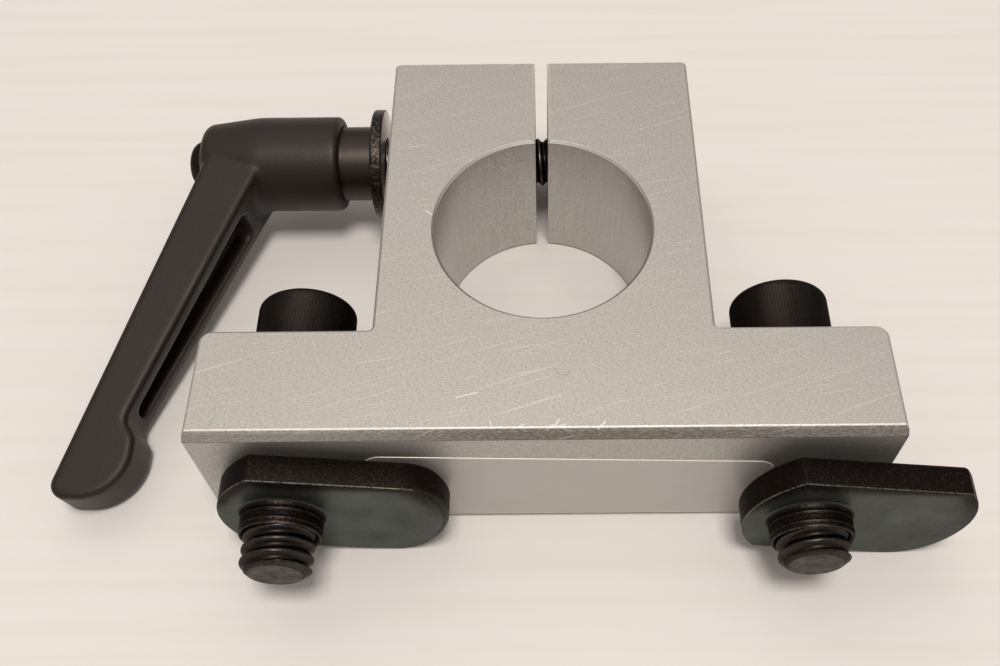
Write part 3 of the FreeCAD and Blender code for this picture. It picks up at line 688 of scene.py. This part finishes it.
def screw_rings(sizes, head, total, angles):
    """Rings of a cap screw from its cut end to its socket's floor, with its worn and cut-end marks.

    The end is a flat disc and a cone that runs into the thread. The thread is its root radius plus its
    depth times thread_height. The head is a washer face, a side whose odd columns are sunk by the knurl's
    depth, a rounded top edge, and a hexagonal socket with a conical floor.
    """
    columns, pitch = len(angles), sizes.screw_pitch
    reach = total - HEAD_HEIGHT
    chamfer, cone, step = 0.95 * MM, 0.65 * MM, 0.1 * MM
    tip = SHANK_RADIUS - chamfer
    blocks = [(0.6 * tip, 0.0, 0.0, 1.0), (tip - step, 0.0, 0.0, 1.0)]

    root = SHANK_RADIUS - THREAD_DEPTH * pitch
    undercut, runout = 0.4 * MM, 1.2 * MM
    along = np.linspace(0.0, reach - undercut, 14 * round(reach / pitch))[:, None]
    height = thread_height(along, angles, pitch)
    fade = ease((reach - along) / runout)
    thread = root + (SHANK_RADIUS - root) * (1.0 - fade + fade * height)
    limit = SHANK_RADIUS - chamfer * (1.0 - along / cone)
    blocks.append((np.minimum(thread, limit), along, 0.12 * height * fade))
    blocks += [(radius, reach) for radius in (SHANK_RADIUS, SHANK_RADIUS + step, head - 0.3 * MM)]

    odd = np.arange(columns) % 2
    knurled, crest = head - sizes.knurl_depth * odd, 0.05 * (1.0 - odd)
    edge = 0.75 * MM
    outs, ups = arc(edge, 0.0, 90.0, 7)
    blocks += [
        (head, reach + 0.25 * MM),
        (head, reach + 0.55 * MM),
        (knurled, reach + 0.75 * MM, crest),
        (knurled, total - edge - 0.35 * MM, crest),
        (head - edge + outs, total - edge + ups),
    ]

    corner = SOCKET_FLATS / math.sqrt(3.0)
    hexagon = hex_radius(angles + np.pi / 6.0, SOCKET_FLATS)
    floor = total - SOCKET_DEPTH
    blocks += [
        (corner + 0.35 * MM, total),
        (corner + 0.2 * MM, total),
        (hexagon, total - 0.25 * MM),
        (hexagon, floor),
        (0.5 * hexagon, floor - 0.3 * MM),
    ]
    return stack_rings(blocks, columns, "worn", "cut_end")


class CLAMP_OT_base_screws(bpy.types.Operator):
    """Build the two socket head cap screws with their threads, knurled heads and sockets"""

    bl_idname = "clamp.base_screws"
    bl_label = "Base screws"

    def execute(self, context):
        settings = context.scene.stanchion_clamp
        sizes = settings.fasteners
        material = black_oxide(settings.colours)
        angles = round_angles(2 * sizes.knurl_count)
        for side in SIDES:
            node = f"base_screw_{side}"
            low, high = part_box(node)
            head = (high.x - low.x) / 2.0
            radius, along, marks = screw_rings(sizes, head, high.y - low.y, angles)
            origin = axis_point(f"{side}_screw_turn", low.y)
            points = carry_round(radius, along, angles, origin, Z_AXIS, X_AXIS, Y_AXIS)
            add_piece(f"{side}_base_screw", points, material, f"{side}_screw", node,
                      marks=marks, crease=66.0)
        return {"FINISHED"}


def corner_centre(radius):
    """Centre of a nut's rounded corner, along and across: its radius inside both the disc and the flat."""
    across = NUT_HALF - radius
    return NUT_OFFSET + math.sqrt((NUT_DISC - radius) ** 2 - across ** 2), across


def nut_angles():
    """Even directions round the thread's axis, and those where the plate's flats meet its disc."""
    half_flat = math.sqrt(NUT_DISC ** 2 - NUT_HALF ** 2)
    ends = [math.atan2(NUT_HALF, NUT_OFFSET + end * half_flat) for end in (-1, 1)]
    even = np.linspace(-np.pi, np.pi, 240, endpoint=False)
    return np.unique(np.concatenate([even, ends, np.negative(ends)]))


def nut_outline(angles, corners):
    """Distance from the thread's axis to the plate's outline in each direction.

    It is the nearer of the disc and the flats, and on the rounded corners the arc between them.
    """
    x, y = np.cos(angles), np.sin(angles)
    to_disc = NUT_OFFSET * x + np.sqrt(NUT_DISC ** 2 - (NUT_OFFSET * y) ** 2)
    to_flat = NUT_HALF / np.maximum(np.abs(y), 1e-9)
    outline = np.minimum(to_disc, to_flat)
    for sign, radius in corners:
        along, across = corner_centre(radius)
        share = NUT_DISC / (NUT_DISC - radius)
        flat_end = math.atan2(NUT_HALF, along)
        disc_end = math.atan2(across * share, NUT_OFFSET + (along - NUT_OFFSET) * share)
        turned = sign * np.arctan2(y, x)
        inside = (turned - flat_end) * (turned - disc_end) <= 0.0
        toward = along * x + sign * across * y
        reach = np.maximum(radius ** 2 - (along * y - sign * across * x) ** 2, 0.0)
        outline = np.where(inside, toward + np.sqrt(reach), outline)
    return outline


def edge_roll(outline, angles, plain, rolled):
    """Edge radius in each direction: it grows from plain to rolled towards the plate's long end."""
    start, full = np.where(np.sin(angles) > 0.0, 13.0 * MM, 9.5 * MM), 16.0 * MM
    return plain + (rolled - plain) * ease((outline * np.cos(angles) - start) / (full - start))


def droop(height, radius):
    """Turn at which the lowest point of a rounded corner lies a height below the thread's axis."""
    along, across = corner_centre(radius)
    return math.asin((height - radius) / math.hypot(along, across)) - math.atan2(across, along)


def nut_rings(sizes, outline, angles, roll):
    """Rings of a slot nut, round its section from the hole to the back, edge, face and collar.

    Each ring is a radius and a height above the back. The plate's rings follow its outline, its front edge
    is an arc of the roll radius, worn most halfway round, and the collar swells by two low rings. The face
    carries a band of painted shade below its upper edge. The hole is grooved by a thread.
    """
    back, fillet = 0.25 * MM, 0.35 * MM
    height = np.linspace(COLLAR_TOP - back, back, 44)[:, None]
    groove = 0.25 * MM * (1.0 - thread_height(height, angles, sizes.screw_pitch))
    mouth = ease((COLLAR_TOP - 0.3 * MM - height) / (0.5 * MM))
    blocks = [
        (NUT_HOLE + groove * mouth, height, 0.0, 0.3),
        (NUT_HOLE + 0.35 * MM, 0.0),
        (outline - 2.0 * back, 0.0),
        (outline - back, 0.0, 0.0, 0.5),
        (outline, back, 0.0, 1.0),
        (outline, NUT_PLATE - roll - 0.02 * MM, 0.0, 1.0),
    ]

    # Painted shade: the sheared black is strongest on the upper side, and there it runs onto the face below
    # the rolled edge, fading over up to 2.8 mm, to stand for the dark reflection in front.
    upper = np.clip(2.2 * np.sin(angles) + 0.1, 0.0, 1.0)
    outs, ups = arc(roll, 0.0, 90.0, 7)
    spared = 1.0 - 0.9 * ease((roll - sizes.nut_edge) / (0.3 * MM))
    worn = 0.55 * (2.0 * outs * ups / roll ** 2) ** 2 * spared
    blocks.append((outline - roll + outs, NUT_PLATE - roll + ups, worn, 0.4 + 0.6 * upper))
    room = np.minimum(2.8 * MM, outline - roll - COLLAR_RADIUS - fillet - 0.4 * MM)
    for share, sheared_and_shade in ((0.02, 0.95), (0.3, 0.85), (0.65, 0.3), (1.0, 0.0)):
        blocks.append((outline - roll - share * room, NUT_PLATE, 0.0, sheared_and_shade * upper))

    outs, ups = arc(fillet, 270.0, 180.0, 6)
    share = np.linspace(0.05, 1.0, 40)[:, None]
    swell = np.sin(2.0 * np.pi * share) ** 12
    side = COLLAR_RADIUS - 0.08 * MM + sizes.collar_ridge * swell
    rise = NUT_PLATE + fillet + share * (COLLAR_TOP - NUT_PLATE - fillet - 0.2 * MM)
    blocks += [
        (COLLAR_RADIUS + fillet + 0.3 * MM, NUT_PLATE),
        (COLLAR_RADIUS + fillet + outs, NUT_PLATE + fillet + ups, 0.0, -outs / fillet),
        (side, rise, 0.12 * swell ** 2, 1.0),
        (COLLAR_RADIUS - 0.2 * MM, COLLAR_TOP, 0.25, 1.0),
        (COLLAR_RADIUS - 0.35 * MM, COLLAR_TOP, 0.1, 1.0),
    ]
    return stack_rings(blocks, len(angles), "worn", "sheared_and_shade")


class CLAMP_OT_slot_nuts(bpy.types.Operator):
    """Build the two stamped slot nuts with their rolled edges, ringed collars and threads"""

    bl_idname = "clamp.slot_nuts"
    bl_label = "Slot nuts"

    def execute(self, context):
        settings = context.scene.stanchion_clamp
        sizes = settings.fasteners
        material = oxide_plate(settings.colours)
        angles = nut_angles()
        rolled = {"left": sizes.left_roll, "right": sizes.nut_edge}
        for side in SIDES:
            node = f"t_nut_{side}"
            low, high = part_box(node)
            outline = nut_outline(angles, NUT_CORNERS[side])
            roll = edge_roll(outline, angles, sizes.nut_edge, rolled[side])
            radius, height, marks = nut_rings(sizes, outline, angles, roll)
            centre = axis_point(f"{side}_nut_swing", high.y)
            tilt = droop(centre[2] - low.z, NUT_CORNERS[side][-1][1])
            right = math.cos(tilt) * X_AXIS - math.sin(tilt) * Z_AXIS
            up = math.sin(tilt) * X_AXIS + math.cos(tilt) * Z_AXIS
            points = carry_round(radius, height, angles, centre, right, up, -Y_AXIS)
            add_piece(f"{side}_slot_nut", points, material, f"{side}_nut", node, closed=True,
                      marks=marks, crease=50.0)
        return {"FINISHED"}


def stud_rings(low, high, pitch, angles):
    """Rings of the stud and their thread heights, along X.

    The radius is the root's plus the depth times thread_height, held under a cone at each end.
    """
    shaft, reach = (high.z - low.z) / 2.0, high.x - low.x
    root = shaft - THREAD_DEPTH * pitch
    along = np.linspace(0.0, reach, 12 * int(reach / pitch))[:, None]
    height = thread_height(along, angles, pitch)
    limit = shaft - STUD_CHAMFER + np.minimum(along, reach - along)
    return np.minimum(root + (shaft - root) * height, limit), along, height


class CLAMP_OT_stud(bpy.types.Operator):
    """Build the threaded clamping stud"""

    bl_idname = "clamp.stud"
    bl_label = "Clamping stud"

    def execute(self, context):
        settings = context.scene.stanchion_clamp
        low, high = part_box("clamp_stud")
        angles = round_angles(72)
        radius, along, height = stud_rings(low, high, settings.fasteners.stud_pitch, angles)
        origin = np.array([low.x, (low.y + high.y) / 2.0, (low.z + high.z) / 2.0])
        points = carry_round(radius, along, angles, origin, Y_AXIS, Z_AXIS, X_AXIS)
        add_piece("threaded_clamping_stud", points, black_oxide(settings.colours), "insert",
                  "clamp_stud", marks={"worn": 0.4 * height, "cut_end": 0.0}, crease=66.0)
        return {"FINISHED"}


def coil_points(low, high, wire, turns):
    """Wire's round section carried along a helix about X that fills the box between two corners."""
    share = np.linspace(0.0, 1.0, 48 * turns)[:, None]
    turned = 2.0 * np.pi * turns * share
    section = round_angles(14)
    out = (high.y - low.y) / 2.0 - wire + wire * np.cos(section)
    x = low.x + wire + share * (high.x - low.x - 2.0 * wire) + wire * np.sin(section)
    y = (low.y + high.y) / 2.0 + out * np.cos(turned)
    z = (low.z + high.z) / 2.0 + out * np.sin(turned)
    return np.stack([x, y, z], axis=-1)


class CLAMP_OT_spring(bpy.types.Operator):
    """Build the lever's compression spring on a mesh of its own, at one length; the real spring shortens as
    the handle is lifted
    """

    bl_idname = "clamp.spring"
    bl_label = "Lever spring"

    def execute(self, context):
        settings = context.scene.stanchion_clamp
        sizes = settings.fasteners
        low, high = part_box("lever_spring")
        points = coil_points(low, high, sizes.spring_wire, sizes.spring_turns)
        piece = add_piece("helical_lever_spring", points, spring_steel(settings.colours), "insert",
                          "lever_spring")
        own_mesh(piece)
        return {"FINISHED"}


def label_rings(sizes):
    """Rings of the label from its back to its face, and their rim marks.

    Each ring is a rectangle with rounded corners, drawn in by its inset. Its top edge falls towards the
    right, and its right edge is cut back to a circle round the right screw's hole.
    """
    low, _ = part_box("clamp_body")
    hole_x, _, hole_z = JOINTS["right_screw_turn"]["pos_m"]
    foot = low.z + sizes.foot
    height = sizes.top - foot
    middle, half_width = (sizes.left + sizes.right) / 2.0, (sizes.right - sizes.left) / 2.0
    per_corner, straight = 14, np.zeros(40)

    corners = [sizes.corner, sizes.corner, sizes.low_corner, sizes.low_corner]
    radii = np.concatenate([np.repeat(corners, per_corner), straight])
    arcs = [np.linspace(start, start + 90.0, per_corner) for start in (0, 90, 180, 270)]
    angles = np.radians(np.concatenate([*arcs, straight]))
    side = np.concatenate([np.repeat([1.0, -1.0, -1.0, 1.0], per_corner), straight + 1.0])
    levels = [height - sizes.corner, sizes.low_corner]
    edge = np.linspace(levels[1], levels[0], len(straight) + 2)[1:-1]
    centre_z = np.concatenate([np.repeat(levels, 2 * per_corner), edge])

    inset, lift, rim = np.array(LABEL_RINGS).T[:, :, None]
    drawn_in = radii - inset * MM
    x = side * (half_width - radii) + drawn_in * np.cos(angles)
    z = centre_z + drawn_in * np.sin(angles)
    z = foot + z * (1.0 - sizes.fall * x / height)
    gap = np.sqrt(np.maximum((sizes.notch + inset * MM) ** 2 - (z - hole_z) ** 2, 0.0))
    x = np.where(gap > 0.0, np.minimum(x, hole_x - middle - gap), x)
    y = np.broadcast_to(low.y - lift * sizes.film, x.shape)
    return np.stack([middle + x, y, z], axis=-1), rim


class CLAMP_OT_label(bpy.types.Operator):
    """Stick the blank label on the base's wide face, cut away round the right screw's hole"""

    bl_idname = "clamp.label"
    bl_label = "Blank label"

    def execute(self, context):
        settings = context.scene.stanchion_clamp
        points, rim = label_rings(settings.label)
        add_piece("blank_label", points, label_film(settings.colours), "block",
                  marks={"rim": rim}, crease=60.0)
        return {"FINISHED"}


def add_camera(stage):
    """Camera at its distance from the target, turned by its azimuth, elevation and roll."""
    flat = math.cos(stage.elevation)
    back = Vector((math.sin(stage.azimuth) * flat, -math.cos(stage.azimuth) * flat,
                   math.sin(stage.elevation)))
    level = Vector((math.cos(stage.azimuth), math.sin(stage.azimuth), 0.0))
    upright = back.cross(level)
    right = level * math.cos(stage.roll) + upright * math.sin(stage.roll)
    up = upright * math.cos(stage.roll) - level * math.sin(stage.roll)
    lens = bpy.data.cameras.new("photo_camera")
    lens.sensor_width = 36.0
    lens.lens = stage.lens
    lens.shift_x, lens.shift_y = stage.shift
    lens.clip_start = 0.01
    camera = show("photo_camera", lens)
    turned = Matrix((right, up, back)).transposed().to_4x4()
    camera.matrix_world = Matrix.Translation(Vector(stage.target) + back * stage.distance) @ turned
    bpy.context.scene.camera = camera


def add_table(material):
    """Level square table at the resting face, as a grid of square cells."""
    count = TABLE_CELLS + 1
    steps = np.linspace(-TABLE_REACH, TABLE_REACH, count)
    across, along = np.meshgrid(steps, steps)
    points = np.stack([across, along, np.zeros_like(across)], axis=-1).reshape(-1, 3)
    corner = (np.arange(TABLE_CELLS)[:, None] * count + np.arange(TABLE_CELLS)).ravel()
    quads = np.stack([corner, corner + 1, corner + count + 1, corner + count], axis=-1)
    mesh = bpy.data.meshes.new("table")
    mesh.from_pydata(points.tolist(), [], quads.tolist())
    mesh.materials.append(material)
    table = show("table", mesh)


def add_lamp(name, tint, power, place, width):
    """Square area lamp at a place, turned towards the origin."""
    lamp = bpy.data.lights.new(name, "AREA")
    lamp.color = tint[:3]
    lamp.shape = "SQUARE"
    lamp.size = width
    lamp.energy = power
    holder = show(name, lamp)
    holder.location = place
    holder.rotation_euler = (-Vector(place)).to_track_quat("-Z", "Y").to_euler()


def add_room(stage):
    """Even soft light from all round."""
    world = bpy.data.worlds.new("soft_room")
    world.use_nodes = True
    tree = world.node_tree
    tree.nodes.clear()
    room = add_node(tree, "Background", {"Color": stage.light, "Strength": stage.ambient})
    add_node(tree, "OutputWorld", {"Surface": room})
    bpy.context.scene.world = world


class CLAMP_OT_stage(bpy.types.Operator):
    """Set the camera, the table, the lamps and the surroundings"""

    bl_idname = "clamp.stage"
    bl_label = "Stage"

    def execute(self, context):
        settings = context.scene.stanchion_clamp
        stage = settings.stage
        add_camera(stage)
        add_table(table_top(settings.colours))
        add_lamp("key_lamp", stage.light, stage.key_power, KEY_PLACE, KEY_WIDTH)
        add_lamp("back_lamp", stage.light, stage.back_power, BACK_PLACE, BACK_WIDTH)
        add_room(stage)
        context.scene.view_settings.view_transform = "Standard"
        return {"FINISHED"}


STEPS = (CLAMP_OT_block, CLAMP_OT_lever, CLAMP_OT_base_screws, CLAMP_OT_slot_nuts, CLAMP_OT_stud,
         CLAMP_OT_spring, CLAMP_OT_label, CLAMP_OT_stage)


class CLAMP_PT_sidebar(bpy.types.Panel):
    """Buttons and settings of the clamp"""

    bl_idname = "CLAMP_PT_sidebar"
    bl_label = "Stanchion clamp"
    bl_space_type = "VIEW_3D"
    bl_region_type = "UI"
    bl_category = "Clamp"

    def draw(self, context):
        settings = context.scene.stanchion_clamp
        for step in STEPS:
            self.layout.operator(step.bl_idname)
        for group in (settings.fasteners, settings.label, settings.colours, settings.stage):
            box = self.layout.box()
            for key in group.bl_rna.properties.keys():
                if key not in ("rna_type", "name"):
                    box.prop(group, key)


CLASSES = (FastenerSizes, LabelSizes, FinishColours, StageSettings, ClampSettings, *STEPS, CLAMP_PT_sidebar)


def register():
    """Register the classes and the scene's settings."""
    for item in CLASSES:
        bpy.utils.register_class(item)
    bpy.types.Scene.stanchion_clamp = PointerProperty(type=ClampSettings)


def unregister():
    """Take the settings and classes away again."""
    del bpy.types.Scene.stanchion_clamp
    for item in reversed(CLASSES):
        bpy.utils.unregister_class(item)


def main():
    """Build every piece and the stage."""
    register()
    bpy.ops.clamp.block()
    bpy.ops.clamp.lever()
    bpy.ops.clamp.base_screws()
    bpy.ops.clamp.slot_nuts()
    bpy.ops.clamp.stud()
    bpy.ops.clamp.spring()
    bpy.ops.clamp.label()
    bpy.ops.clamp.stage()


if __name__ == "__main__":
    main()
